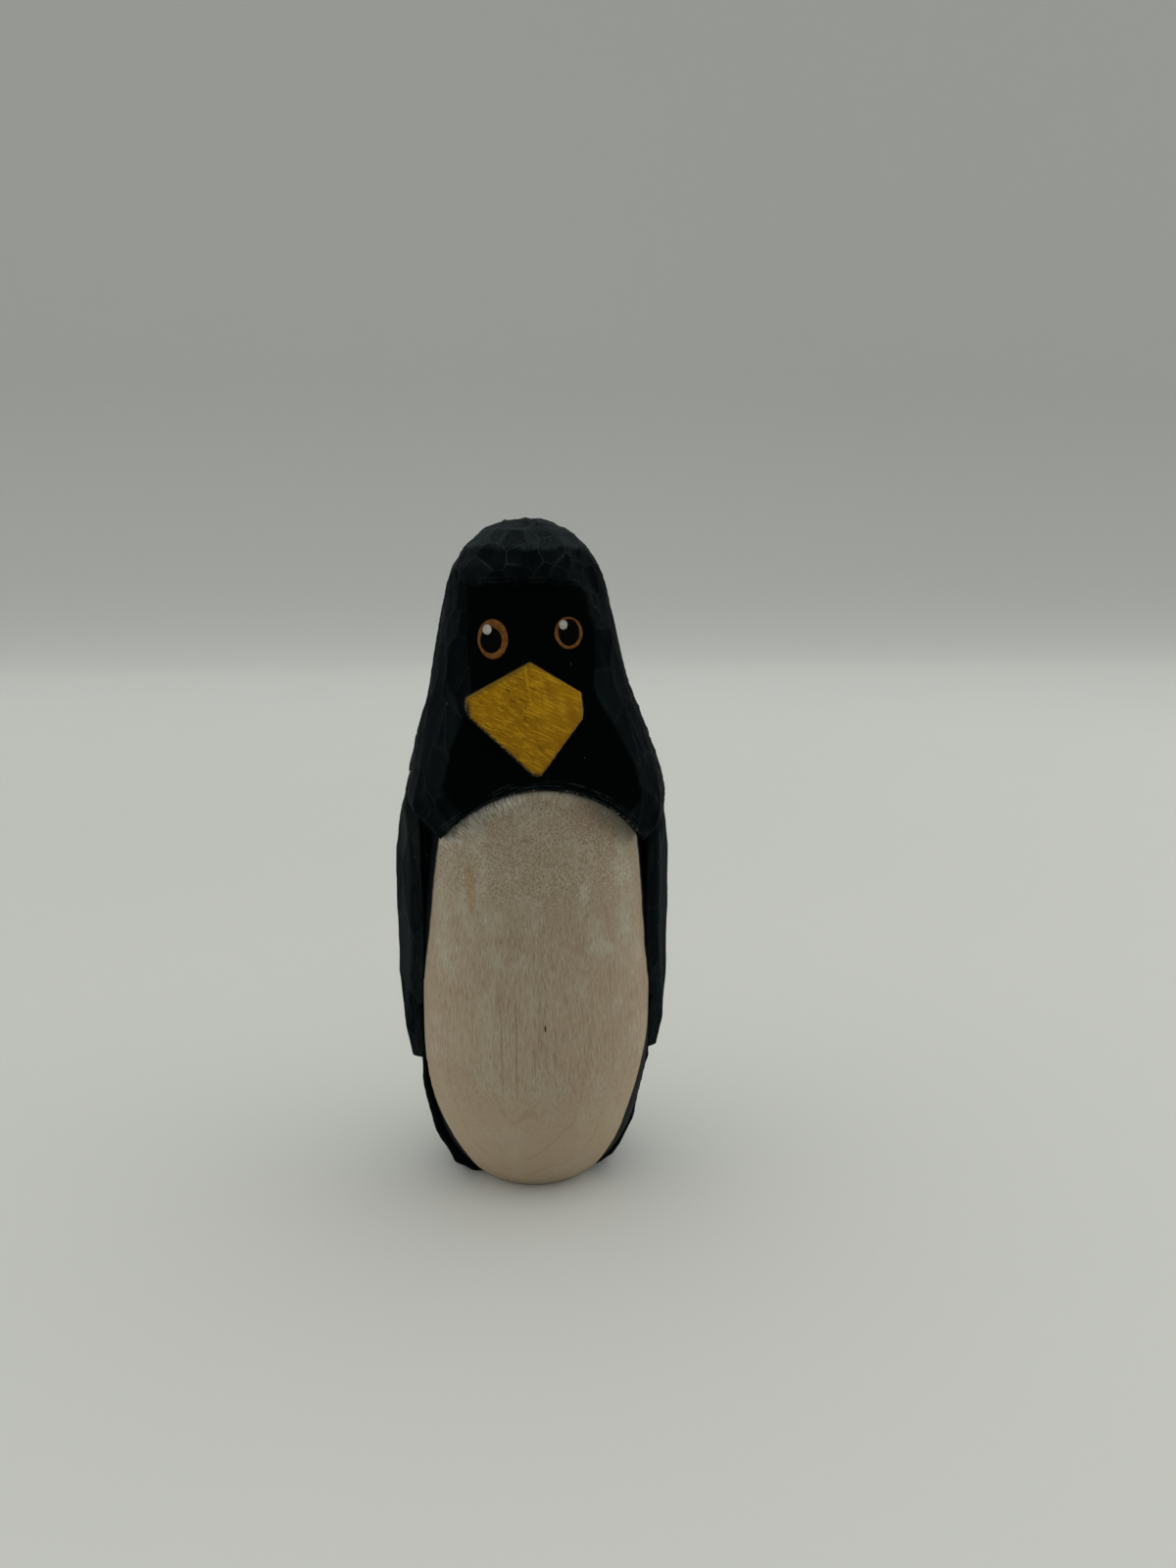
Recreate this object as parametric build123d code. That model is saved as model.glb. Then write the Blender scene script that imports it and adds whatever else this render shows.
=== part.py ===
"""Penguin figurine: a standing penguin, whittled from wood and glued up from separate pieces."""

from build123d import *
from math import acos, atan2, copysign, cos, hypot, pi, radians, sin
import os
import random

# Lengths are millimetres. The penguin stands on Z = 0 and looks along -Y, so its right side is at -X.

# Body block: a superellipse in plan, with a rounded foot, a flare from the neck to the shoulder
# and a domed crown.
HEIGHT = 140.0
FOOT_HALF_WIDTH = 13.2
BODY_HALF_WIDTH = 25.4
SHOULDER_FLARE = 1.3
HIP_HEIGHT = 37.0
SHOULDER_DROP = 54.0
NECK_HALF_WIDTH = 20.6
NECK_DROP = 34.0
NECK_OVERLAP = 8.0
DOME_HALF_WIDTH = 17.0
DOME_RISE = 19.0
DEPTH_RATIO = 0.92
SQUARENESS = 2.6
SIDE_BOW = 0.3
FLARE_BOW = 0.6
NECK_BOW = 0.2
FOOT_LEAN = -0.6
SHOULDER_LEAN = 0.7
HEAD_LEAN = -1.0

# Knife facets: courses and widths of the cuts, and how unevenly the hand places them.
FOOT_COURSES = 4
SIDE_COURSES = 2
FLARE_COURSES = 3
NECK_COURSES = 2
DOME_COURSES = 5
FOOT_FACET = 7.5
SIDE_FACET = 7.0
FLARE_FACET = 5.6
NECK_FACET = 5.2
DOME_FACET = 4.4
CUT_WANDER = 0.16
CUT_BITE = 0.3
HAND_SEED = 11

# Face: a flat under a scalloped brow, leaning forward to a steeper throat; drops are from the crown.
BROW_DROP = 12.4
EYE_DROP = 22.6
THROAT_DROP = 35.0
FACE_DEPTH = 14.1
FACE_SLOPE = 0.27
THROAT_SLOPE = 0.08
FACE_SHIFT = -1.0
BROW_LINE = ((-12.4, -0.6), (-7.0, 0.4), (-3.3, 0.0), (0.0, 0.2), (5.3, -0.3), (9.5, -0.7))
BROW_SCALLOP = 0.35
TEMPLE_CORNER = (7.7, -13.0)
TEMPLE_SLANT = (0.65, -0.68, 0.34)

# Hood edge over the belly: an arch between two pointed tips, then a diagonal up to each flipper.
HOOD_SHIFT = 1.2
ARCH_DROP = 52.2
HOOD_TIP_DROP = 64.0
HOOD_TIP_SPAN = 40.4
HOOD_TIP_TILT = 1.5
HOOD_TIP_DEPTH = 13.0
HOOD_TIP_SLANT = (0.55, -0.75, -0.37)
DIAGONAL_RUN = 6.0
DIAGONAL_RISE = 6.0

# Belly: a turned panel on a flat split, as (radius to the block's half width, height to the belly's).
SPLIT_DEPTH = 5.0
BELLY_SHIFT = 0.2
BELLY_AXIS = 1.7
BELLY_TUCK = 4.6
BELLY_FOOT = (0.52, 0.0)
BELLY_LOW = (0.85, 0.131)
BELLY_WIDE = (0.988, 0.37)
BELLY_WAIST = (0.885, 0.83)
BELLY_TOP = (0.67, 1.0)

# Flippers: slats let into flat seats, each given as (size, share of its length above the tip).
FLIPPER_TUCK = 5.0
FLIPPER_TIP = 26.7
FLIPPER_SWELL = ((1.5, 1.0), (4.5, 0.83), (5.8, 0.7), (6.0, 0.3), (4.9, 0.11), (3.85, 0.0))
FLIPPER_FRONT = ((2.0, 1.0), (5.5, 0.85), (7.0, 0.75), (6.6, 0.42), (2.6, 0.0))
FLIPPER_BACK = ((6.0, 1.0), (10.5, 0.85), (13.0, 0.75), (11.0, 0.42), (5.4, 0.0))
SEAT_SINK = 2.0
FLIPPER_EDGE = 2.6
BEVEL_TURN = 28.0
TIP_SLANT = 0.2

# Beak: a kite on the face flat, measured from the point between the eyes (across, up).
BEAK_APEX = (-0.3, -5.4)
BEAK_RIGHT_TOP = (-12.5, -12.0)
BEAK_RIGHT_LOW = (-12.7, -15.4)
BEAK_LEFT_TOP = (9.2, -11.3)
BEAK_LEFT_LOW = (9.6, -15.9)
BEAK_TIP = (0.3, -28.6)
BEAK_APEX_STAND = 2.6
BEAK_SIDE_STAND = 2.2
BEAK_TIP_STAND = 6.6
BEAK_UNDERCUT = 4.5
BEAK_BLUNT = 1.2
BEAK_DRAFT = 0.25
BEAK_NOSE_START = 0.5
BEAK_NOSE_SLOPE = 0.2
BEAK_NOSE_TURN = 0.1

# Eyes, painted by hand: centre, size, then the pupil and the glint from that centre.
EYES = {
    "right": {"at": (-7.2, -0.6), "iris": (6.0, 7.9), "pupil": (4.15, 5.0), "pupil_at": (-0.35, -0.25),
              "glint": (1.75, 2.1), "glint_at": (-1.05, 1.8)},
    "left": {"at": (7.35, 0.45), "iris": (5.6, 6.4), "pupil": (4.1, 5.3), "pupil_at": (0.05, 0.1),
             "glint": (1.65, 2.0), "glint_at": (-1.0, 1.55)},
}
PAINT_COAT = 0.25

# Tail nub at the bottom of the back.
TAIL_REACH = 26.6
TAIL_ROOT_WIDTH = 19.0
TAIL_END_WIDTH = 8.0
TAIL_ROOT_TOP = 32.0
TAIL_ROOT_UNDER = 2.0
TAIL_END_TOP = 8.5
TAIL_END_UNDER = 6.0
TAIL_ROOT_DEPTH = 12.0

# Joints: a glue line round let-in pieces and hidden dowels.
GLUE_LINE = 0.08
DOWEL_FIT = 0.05
DOWEL_END_GAP = 0.3
FLIPPER_DOWEL = {"diameter": 3.0, "in_block": 8.0, "in_piece": 3.2, "y": 2.0, "shares": (0.36, 0.74)}
BELLY_DOWEL = {"diameter": 5.0, "in_block": 9.0, "in_piece": 8.0, "shares": (0.3, 0.68)}
BEAK_DOWEL = {"diameter": 4.0, "in_block": 9.0, "in_piece": 3.2, "up": -12.5}

SHOULDER_HALF_WIDTH = BODY_HALF_WIDTH + SHOULDER_FLARE
SHOULDER_HEIGHT = HEIGHT - SHOULDER_DROP
NECK_HEIGHT = HEIGHT - NECK_DROP
DOME_BASE = HEIGHT - DOME_RISE
BROW_HEIGHT = HEIGHT - BROW_DROP
EYE_HEIGHT = HEIGHT - EYE_DROP
THROAT_HEIGHT = HEIGHT - THROAT_DROP
ARCH_HEIGHT = HEIGHT - ARCH_DROP
HOOD_TIP_HEIGHT = HEIGHT - HOOD_TIP_DROP
BELLY_HEIGHT = ARCH_HEIGHT + BELLY_TUCK
FLIPPER_TOP = SHOULDER_HEIGHT + FLIPPER_TUCK
BACK = SHOULDER_HALF_WIDTH * DEPTH_RATIO
FAR = 3 * HEIGHT


def whittle(blank, cuts):
    """Takes away what lies beyond each cut, a point on the knife plane and its outward normal."""
    for point, normal in cuts:
        blank = blank.split(Plane(origin=point, z_dir=normal), keep=Keep.BOTTOM).solid()
    return blank


def foot_station(turn):
    """Half width, height and outward normal on the rounded foot, from the base to the hip at 90 degrees."""
    flare = BODY_HALF_WIDTH - FOOT_HALF_WIDTH
    width = FOOT_HALF_WIDTH + flare * sin(radians(turn))
    height = HIP_HEIGHT * (1 - cos(radians(turn)))
    return width, height, HIP_HEIGHT * sin(radians(turn)), -flare * cos(radians(turn))


def dome_station(turn):
    """The same on the domed crown, from its equator at 0 to its top at 90 degrees."""
    width = DOME_HALF_WIDTH * cos(radians(turn))
    height = DOME_BASE + DOME_RISE * sin(radians(turn))
    return width, height, DOME_RISE * cos(radians(turn)), DOME_HALF_WIDTH * sin(radians(turn))


def bowed_station(low, high, bow, share):
    """The same on a slightly bowed line between two (half width, height) points."""
    run = high[0] - low[0]
    rise = high[1] - low[1]
    length = hypot(run, rise)
    swell = 4 * bow * share * (1 - share)
    tilt = 4 * bow * (1 - 2 * share) / length
    out = rise / length
    up = -run / length
    width = low[0] + run * share + out * swell
    height = low[1] + rise * share + up * swell
    return width, height, out + up * tilt, up - out * tilt


def dome_tangent():
    """Angle on the dome where a line from the neck touches it."""
    across = NECK_HALF_WIDTH / DOME_HALF_WIDTH
    up = (NECK_HEIGHT - DOME_BASE) / DOME_RISE
    return (atan2(up, across) + acos(1 / hypot(across, up))) * 180 / pi


def side_half_width(height):
    """Half width of the guide shape at a height below the neck."""
    if height < HIP_HEIGHT:
        return foot_station(acos(1 - height / HIP_HEIGHT) * 180 / pi)[0]
    if height < SHOULDER_HEIGHT:
        return BODY_HALF_WIDTH + SHOULDER_FLARE * (height - HIP_HEIGHT) / (SHOULDER_HEIGHT - HIP_HEIGHT)
    share = (height - SHOULDER_HEIGHT) / (NECK_HEIGHT - SHOULDER_HEIGHT)
    return SHOULDER_HALF_WIDTH + (NECK_HALF_WIDTH - SHOULDER_HALF_WIDTH) * share


def lean(height):
    """Sideways lean of the block, from the foot to the shoulder and back to the head."""
    if height < SHOULDER_HEIGHT:
        return FOOT_LEAN + (SHOULDER_LEAN - FOOT_LEAN) * height / SHOULDER_HEIGHT
    share = min(1.0, (height - SHOULDER_HEIGHT) / (DOME_BASE - SHOULDER_HEIGHT))
    return SHOULDER_LEAN + (HEAD_LEAN - SHOULDER_LEAN) * share


def middles(courses):
    """Middles of equal courses, as shares of the whole."""
    return [(course + 0.5) / courses for course in range(courses)]


def ring_of_cuts(station, facet, hand):
    """One course of knife cuts round the block, each touching the guide shape, a little uneven."""
    width, height, out, up = station
    count = max(4, round(2 * pi * width / facet))
    phase = hand.random()
    for index in range(count):
        turn = 2 * pi * (index + phase + hand.uniform(-CUT_WANDER, CUT_WANDER)) / count
        across = copysign(abs(cos(turn)) ** (2 / SQUARENESS), cos(turn))
        along = copysign(abs(sin(turn)) ** (2 / SQUARENESS), sin(turn))
        across_normal = out * copysign(abs(across) ** (SQUARENESS - 1), across)
        along_normal = out * copysign(abs(along) ** (SQUARENESS - 1), along) / DEPTH_RATIO
        normal = Vector(across_normal, along_normal, up).normalized()
        guide = Vector(width * across + lean(height), width * DEPTH_RATIO * along, height)
        yield guide - normal * hand.uniform(0, CUT_BITE), normal


def body_cuts(hand):
    """Knife cuts on the body, course by course from the foot up the flare, which ends inside the head."""
    hip = (BODY_HALF_WIDTH, HIP_HEIGHT)
    shoulder = (SHOULDER_HALF_WIDTH, SHOULDER_HEIGHT)
    neck = (NECK_HALF_WIDTH, NECK_HEIGHT)
    for share in middles(FOOT_COURSES):
        yield from ring_of_cuts(foot_station(90 * share), FOOT_FACET, hand)
    for share in middles(SIDE_COURSES):
        yield from ring_of_cuts(bowed_station(hip, shoulder, SIDE_BOW, share), SIDE_FACET, hand)
    for share in middles(FLARE_COURSES):
        yield from ring_of_cuts(bowed_station(shoulder, neck, FLARE_BOW, share), FLARE_FACET, hand)
    yield Vector(0, 0, NECK_HEIGHT + NECK_OVERLAP), Vector(0, 0, 1)
    yield Vector(0, BACK, 0), Vector(0, 1, 0)


def head_cuts(hand):
    """Knife cuts on the head, course by course from inside the flare to the crown."""
    neck = (NECK_HALF_WIDTH, NECK_HEIGHT)
    temple_turn = dome_tangent()
    temple = dome_station(temple_turn)[:2]
    for share in middles(NECK_COURSES):
        yield from ring_of_cuts(bowed_station(neck, temple, NECK_BOW, share), NECK_FACET, hand)
    for share in middles(DOME_COURSES):
        turn = temple_turn + (90 - temple_turn) * share
        yield from ring_of_cuts(dome_station(turn), DOME_FACET, hand)
    yield Vector(0, 0, NECK_HEIGHT - NECK_OVERLAP), Vector(0, 0, -1)
    yield Vector(0, 0, HEIGHT), Vector(0, 0, 1)


def front_cuts():
    """Broad cuts at the throat and at the left temple."""
    yield Vector(0, face_y(THROAT_HEIGHT), THROAT_HEIGHT), Vector(0, -1, THROAT_SLOPE)
    yield Vector(*TEMPLE_CORNER, BROW_HEIGHT), Vector(*TEMPLE_SLANT)


def face_y(height):
    """Where the face flat stands at a height."""
    return -FACE_DEPTH - FACE_SLOPE * (EYE_HEIGHT - height)


def face_plane():
    """Plane of the face flat, centred between the eyes, with its Y axis up the face."""
    return Plane(origin=(FACE_SHIFT, -FACE_DEPTH, EYE_HEIGHT), x_dir=(1, 0, 0), z_dir=(0, -1, FACE_SLOPE))


def face_cutter():
    """What the face flat takes off the block below the scallops of the brow."""
    ends = [(across, BROW_HEIGHT + rise) for across, rise in BROW_LINE]
    outline = Polyline(ends[-1], (FAR, ends[-1][1]), (FAR, 0), (-FAR, 0), (-FAR, ends[0][1]), ends[0])
    for start, end in zip(ends, ends[1:]):
        crest = ((start[0] + end[0]) / 2, (start[1] + end[1]) / 2 + BROW_SCALLOP)
        outline += ThreePointArc(start, crest, end)
    waste = extrude(Plane.XZ * make_face(outline), FAR)
    return waste.split(face_plane(), keep=Keep.TOP).solid()


def hood_tip(side):
    """One tip of the hood edge, the left one hanging a little lower."""
    height = HOOD_TIP_HEIGHT - side * HOOD_TIP_TILT / 2
    return Vector(HOOD_SHIFT + side * HOOD_TIP_SPAN / 2, -HOOD_TIP_DEPTH, height)


def hood_tip_shaving(side):
    """What a slanting cut takes off the hood above one of its tips."""
    slant = Vector(side * HOOD_TIP_SLANT[0], HOOD_TIP_SLANT[1], HOOD_TIP_SLANT[2])
    knife = Plane(origin=hood_tip(side), x_dir=Vector(0, 0, 1).cross(slant), z_dir=slant)
    waste = Box(BACK, BACK, BACK, align=(Align.CENTER, Align.MIN, Align.MIN))
    return (knife * Pos(0, -DIAGONAL_RISE / 2, 0) * waste).solid()


def hood_relief(allowance):
    """What lies before the split and under the hood edge; the allowance keeps it off both."""
    right, left = [(hood_tip(side).X, hood_tip(side).Z - allowance) for side in (-1, 1)]
    right_end = (right[0] - DIAGONAL_RUN, right[1] + DIAGONAL_RISE)
    left_end = (left[0] + DIAGONAL_RUN, left[1] + DIAGONAL_RISE)
    arch = ThreePointArc(right, (HOOD_SHIFT, ARCH_HEIGHT - allowance), left)
    sides = Polyline(
        left, left_end, (FAR, left_end[1]), (FAR, -1), (-FAR, -1), (-FAR, right_end[1]), right_end, right
    )
    return extrude(Plane.XZ.offset(SPLIT_DEPTH + allowance) * make_face(arch + sides), FAR).solid()


def belly():
    """Smooth front panel: arcs turned about an upright axis, then fitted under the hood edge."""
    foot, low, wide, waist, top = [
        Vector(out * BODY_HALF_WIDTH, up * BELLY_HEIGHT)
        for out, up in (BELLY_FOOT, BELLY_LOW, BELLY_WIDE, BELLY_WAIST, BELLY_TOP)
    ]
    hip = TangentArc(wide, low, tangent=(0, -1))
    toe = TangentArc(low, foot, tangent=hip % 1)
    chest = TangentArc(wide, waist, tangent=(0, 1))
    neck = TangentArc(waist, top, tangent=chest % 1)
    core = Polyline(top, (0, BELLY_HEIGHT), (0, 0), foot)
    turned = revolve(Plane.XZ * make_face(hip + toe + chest + neck + core), Axis.Z)
    return (Pos(BELLY_SHIFT, BELLY_AXIS, 0) * turned & hood_relief(GLUE_LINE)).solid()


def outline_cuts(points, across, allowance):
    """Knife cuts along an outline drawn downwards, each facing out along the given axis."""
    for (near, high), (far, low) in zip(points, points[1:]):
        normal = (across * (high - low) + Vector(0, 0, far - near)).normalized()
        yield across * near + Vector(0, 0, high) + normal * allowance, normal


def seat_x(height):
    """Distance of a flipper's flat seat from the middle, on a line from the flipper's top to its tip."""
    top = side_half_width(FLIPPER_TOP) - SEAT_SINK
    bottom = side_half_width(FLIPPER_TIP) - SEAT_SINK
    return top + (bottom - top) * (FLIPPER_TOP - height) / (FLIPPER_TOP - FLIPPER_TIP)


def up_flipper(share):
    """Height at a share of a flipper's length above its tip."""
    return FLIPPER_TIP + (FLIPPER_TOP - FLIPPER_TIP) * share


def flipper(side, allowance):
    """One flipper, whittled from a slat; the allowance grows it all round to make its seat."""
    out = Vector(side, 0, 0)
    down = Vector(0, 0, -1)
    outside = [(seat_x(up_flipper(share)) + swell, up_flipper(share)) for swell, share in FLIPPER_SWELL]
    inside = [(-seat_x(height), height) for height in (FLIPPER_TOP, FLIPPER_TIP)]
    end = (out * TIP_SLANT + down).normalized()
    cuts = [
        (out * outside[-1][0] - down * FLIPPER_TIP + end * allowance, end),
        (down * -(FLIPPER_TOP + allowance), down * -1),
    ]
    cuts += outline_cuts(outside, out, allowance)
    cuts += outline_cuts(inside, out * -1, allowance)
    turn = radians(BEVEL_TURN)
    for edge_shares, forward in ((FLIPPER_FRONT, Vector(0, -1, 0)), (FLIPPER_BACK, Vector(0, 1, 0))):
        edge = [(reach, up_flipper(share)) for reach, share in edge_shares]
        reach, height = max(edge)
        bevel = out * cos(turn) + forward * sin(turn)
        ridge = out * (seat_x(height) + FLIPPER_EDGE) + forward * reach
        cuts += outline_cuts(edge, forward, allowance)
        cuts.append((ridge + bevel * allowance, bevel))
    return whittle(Box(HEIGHT, HEIGHT, FAR).solid(), cuts)


def beak():
    """Ochre wedge: a ridged kite, undercut below, standing on the face flat."""
    face = face_plane()

    def place(spot, stand):
        return face.from_local_coords(Vector(spot[0], spot[1], stand))

    def cut_through(first, second, third):
        return first, (second - first).cross(third - first).normalized()

    def edge_wall(start, end):
        along = Vector(end[0] - start[0], end[1] - start[1], 0).normalized()
        wall = Vector(along.Y, -along.X, BEAK_DRAFT).normalized()
        normal = face.x_dir * wall.X + face.y_dir * wall.Y + face.z_dir * wall.Z
        return place(start, BEAK_SIDE_STAND), normal

    apex = place(BEAK_APEX, BEAK_APEX_STAND)
    tip = place(BEAK_TIP, BEAK_TIP_STAND)
    right = place(BEAK_RIGHT_LOW, BEAK_SIDE_STAND)
    left = place(BEAK_LEFT_LOW, BEAK_SIDE_STAND)
    under = place((BEAK_TIP[0], BEAK_TIP[1] + BEAK_UNDERCUT), 0)
    nose = face.z_dir + face.x_dir * BEAK_NOSE_TURN + face.y_dir * BEAK_NOSE_SLOPE
    cuts = [
        cut_through(apex, place(BEAK_RIGHT_TOP, BEAK_SIDE_STAND), tip),
        cut_through(apex, tip, place(BEAK_LEFT_TOP, BEAK_SIDE_STAND)),
        cut_through(tip, right, under),
        cut_through(tip, under, left),
        edge_wall(BEAK_APEX, BEAK_RIGHT_TOP),
        edge_wall(BEAK_LEFT_TOP, BEAK_APEX),
        edge_wall(BEAK_RIGHT_TOP, BEAK_RIGHT_LOW),
        edge_wall(BEAK_LEFT_LOW, BEAK_LEFT_TOP),
        (place((BEAK_TIP[0], BEAK_TIP[1] + BEAK_BLUNT), BEAK_TIP_STAND), face.y_dir * -1),
        (apex + (tip - apex) * BEAK_NOSE_START, nose),
        (face.origin, face.z_dir * -1),
    ]
    return whittle((face * Box(HEIGHT, HEIGHT, HEIGHT)).solid(), cuts)


def eye(eye_side):
    """Paint layers of one eye on the face flat: a ring, the pupil inside it and a glint over both."""
    face = face_plane()
    spots = EYES[eye_side]
    centre = Pos(*spots["at"])
    iris_outline = centre * Ellipse(spots["iris"][0] / 2, spots["iris"][1] / 2)
    pupil_outline = centre * Pos(*spots["pupil_at"]) * Ellipse(spots["pupil"][0] / 2, spots["pupil"][1] / 2)
    glint_outline = centre * Pos(*spots["glint_at"]) * Ellipse(spots["glint"][0] / 2, spots["glint"][1] / 2)
    iris = extrude(face * (iris_outline - pupil_outline), PAINT_COAT)
    pupil = extrude(face * pupil_outline, PAINT_COAT)
    glint = extrude(face.offset(PAINT_COAT) * glint_outline, PAINT_COAT)
    return {"iris": iris, "pupil": pupil, "glint": glint}


def tail():
    """Small wedge at the bottom of the back, blunt at its end."""
    root = BACK - TAIL_ROOT_DEPTH
    reach = TAIL_REACH - root
    top_reach = TAIL_REACH - BACK
    narrowing = (TAIL_ROOT_WIDTH - TAIL_END_WIDTH) / 2
    cuts = [
        (Vector(0, TAIL_REACH, TAIL_END_TOP), Vector(0, TAIL_ROOT_TOP - TAIL_END_TOP, top_reach)),
        (Vector(0, TAIL_REACH, TAIL_END_UNDER), Vector(0, TAIL_END_UNDER - TAIL_ROOT_UNDER, -reach)),
        (Vector(0, TAIL_REACH, 0), Vector(0, 1, 0)),
        (Vector(0, 0, TAIL_ROOT_TOP), Vector(0, 0, 1)),
        (Vector(0, root, 0), Vector(0, -1, 0)),
    ]
    for side in (-1, 1):
        cuts.append((Vector(side * TAIL_END_WIDTH / 2, TAIL_REACH, 0), Vector(side * reach, narrowing, 0)))
    return whittle(Box(HEIGHT, HEIGHT, FAR).solid(), cuts)


def pegs(places, spec, allowance, end_gap):
    """Dowels, or with an allowance their holes, on planes whose Z axis points into the fitted piece."""
    length = spec["in_block"] + spec["in_piece"] - 2 * end_gap
    peg = Cylinder(spec["diameter"] / 2 + allowance, length, align=(Align.CENTER, Align.CENTER, Align.MIN))
    return Part() + [place.offset(end_gap - spec["in_block"]) * peg for place in places]


def flipper_peg_places(side):
    """Dowel planes on the flat seat of one flipper."""
    slope = (seat_x(FLIPPER_TIP) - seat_x(FLIPPER_TOP)) / (FLIPPER_TOP - FLIPPER_TIP)
    places = []
    for height in map(up_flipper, FLIPPER_DOWEL["shares"]):
        centre = (side * seat_x(height), FLIPPER_DOWEL["y"], height)
        places.append(Plane(origin=centre, x_dir=(0, 1, 0), z_dir=(side, 0, slope)))
    return places


belly_places = [
    Plane(origin=(BELLY_SHIFT, -SPLIT_DEPTH, share * BELLY_HEIGHT), x_dir=(1, 0, 0), z_dir=(0, -1, 0))
    for share in BELLY_DOWEL["shares"]
]
beak_places = [face_plane().shift_origin(face_plane().from_local_coords((0, BEAK_DOWEL["up"], 0)))]
sides = {"right": -1, "left": 1}

hand = random.Random(HAND_SEED)
blank = Box(HEIGHT, HEIGHT, HEIGHT, align=(Align.CENTER, Align.CENTER, Align.MIN)).solid()
body = whittle(blank, body_cuts(hand))
head = whittle(blank, head_cuts(hand))
block = whittle((body + head).solid(), front_cuts())
block = block + tail() - face_cutter() - hood_relief(0) - hood_tip_shaving(-1) - hood_tip_shaving(1)
belly_panel = belly()
beak_wedge = beak()
pieces = {}

belly_holes = pegs(belly_places, BELLY_DOWEL, DOWEL_FIT, 0)
beak_holes = pegs(beak_places, BEAK_DOWEL, DOWEL_FIT, 0)
block = block - belly_holes - beak_holes
belly_panel = belly_panel - belly_holes
pieces["belly_dowels"] = pegs(belly_places, BELLY_DOWEL, 0, DOWEL_END_GAP)
pieces["beak"] = beak_wedge - beak_holes
pieces["beak_dowel"] = pegs(beak_places, BEAK_DOWEL, 0, DOWEL_END_GAP)

for name, side in sides.items():
    places = flipper_peg_places(side)
    holes = pegs(places, FLIPPER_DOWEL, DOWEL_FIT, 0)
    block = block - flipper(side, GLUE_LINE) - holes
    belly_panel = belly_panel - flipper(side, GLUE_LINE)
    pieces[f"{name}_flipper"] = flipper(side, 0) - holes
    pieces[f"{name}_flipper_dowels"] = pegs(places, FLIPPER_DOWEL, 0, DOWEL_END_GAP)
    for layer, coat in eye(name).items():
        pieces[f"{name}_eye_{layer}"] = coat
pieces["belly_panel"] = belly_panel
pieces["body_block"] = block

# The finished figure is centred over the origin.
boxes = [piece.bounding_box() for piece in pieces.values()]
middle_x = (min(box.min.X for box in boxes) + max(box.max.X for box in boxes)) / 2
middle_y = (min(box.min.Y for box in boxes) + max(box.max.Y for box in boxes)) / 2
centring = Pos(-middle_x, -middle_y, 0)
os.makedirs("parts", exist_ok=True)
for name, piece in pieces.items():
    export_step(centring * piece, f"parts/{name}.step")
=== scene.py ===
import math
import random
import bmesh
import bpy
from mathutils import Matrix, Vector


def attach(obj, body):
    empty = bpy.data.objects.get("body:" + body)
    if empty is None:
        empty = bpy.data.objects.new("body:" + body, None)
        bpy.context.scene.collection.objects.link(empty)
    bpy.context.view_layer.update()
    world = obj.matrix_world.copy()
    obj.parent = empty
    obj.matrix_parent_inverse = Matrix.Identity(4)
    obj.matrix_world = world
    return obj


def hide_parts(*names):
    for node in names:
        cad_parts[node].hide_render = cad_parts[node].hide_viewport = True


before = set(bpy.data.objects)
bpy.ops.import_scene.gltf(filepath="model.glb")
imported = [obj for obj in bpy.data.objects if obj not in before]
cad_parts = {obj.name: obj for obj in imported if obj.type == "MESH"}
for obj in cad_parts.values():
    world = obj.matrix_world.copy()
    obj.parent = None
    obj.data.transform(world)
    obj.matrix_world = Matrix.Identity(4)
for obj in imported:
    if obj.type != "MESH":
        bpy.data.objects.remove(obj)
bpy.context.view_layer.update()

scene = bpy.context.scene
scene.view_settings.view_transform = "Standard"
mm = 0.001
print("frame loaded:", len(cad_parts), "nodes")


# small helpers for node trees

def addNode(tree, kind, inputs=None, **settings):
    node = tree.nodes.new(kind)
    for name, value in settings.items():
        setattr(node, name, value)
    for socket, value in (inputs or {}).items():
        feed(tree, node.inputs[socket], value)
    return node


def feed(tree, socket, value):
    if isinstance(value, bpy.types.NodeSocket):
        tree.links.new(value, socket)
    else:
        socket.default_value = value


def math2(tree, operation, a, b=0.0):
    return addNode(tree, "ShaderNodeMath", {0: a, 1: b}, operation=operation).outputs[0]


def product(tree, first, *others):
    for other in others:
        first = math2(tree, "MULTIPLY", first, other)
    return first


def total(tree, first, *others):
    for other in others:
        first = math2(tree, "ADD", first, other)
    return first


def minus(tree, first, second):
    return math2(tree, "SUBTRACT", first, second)


def vector2(tree, operation, a, b):
    return addNode(tree, "ShaderNodeVectorMath", {0: a, 1: b}, operation=operation).outputs[0]


def scaled(tree, vector, factor):
    return addNode(tree, "ShaderNodeVectorMath", {0: vector, "Scale": factor}, operation="SCALE").outputs[0]


def axesOf(tree, vector):
    return addNode(tree, "ShaderNodeSeparateXYZ", {0: vector}).outputs


def ramp(tree, value, low, high, toLow=0.0, toHigh=1.0):
    # smooth change from toLow to toHigh while value goes from low to high
    inputs = {"Value": value, "From Min": low, "From Max": high, "To Min": toLow, "To Max": toHigh}
    return addNode(tree, "ShaderNodeMapRange", inputs, interpolation_type="SMOOTHSTEP").outputs[0]


def between(tree, share, first, second):
    return addNode(tree, "ShaderNodeMix", {0: share, 2: first, 3: second}, data_type="FLOAT").outputs[0]


def blend(tree, factor, first, second, mode="MIX"):
    node = addNode(tree, "ShaderNodeMix", data_type="RGBA", blend_type=mode, clamp_factor=True)
    feed(tree, node.inputs[0], factor)
    feed(tree, node.inputs[6], first)
    feed(tree, node.inputs[7], second)
    return node.outputs[2]


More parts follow.
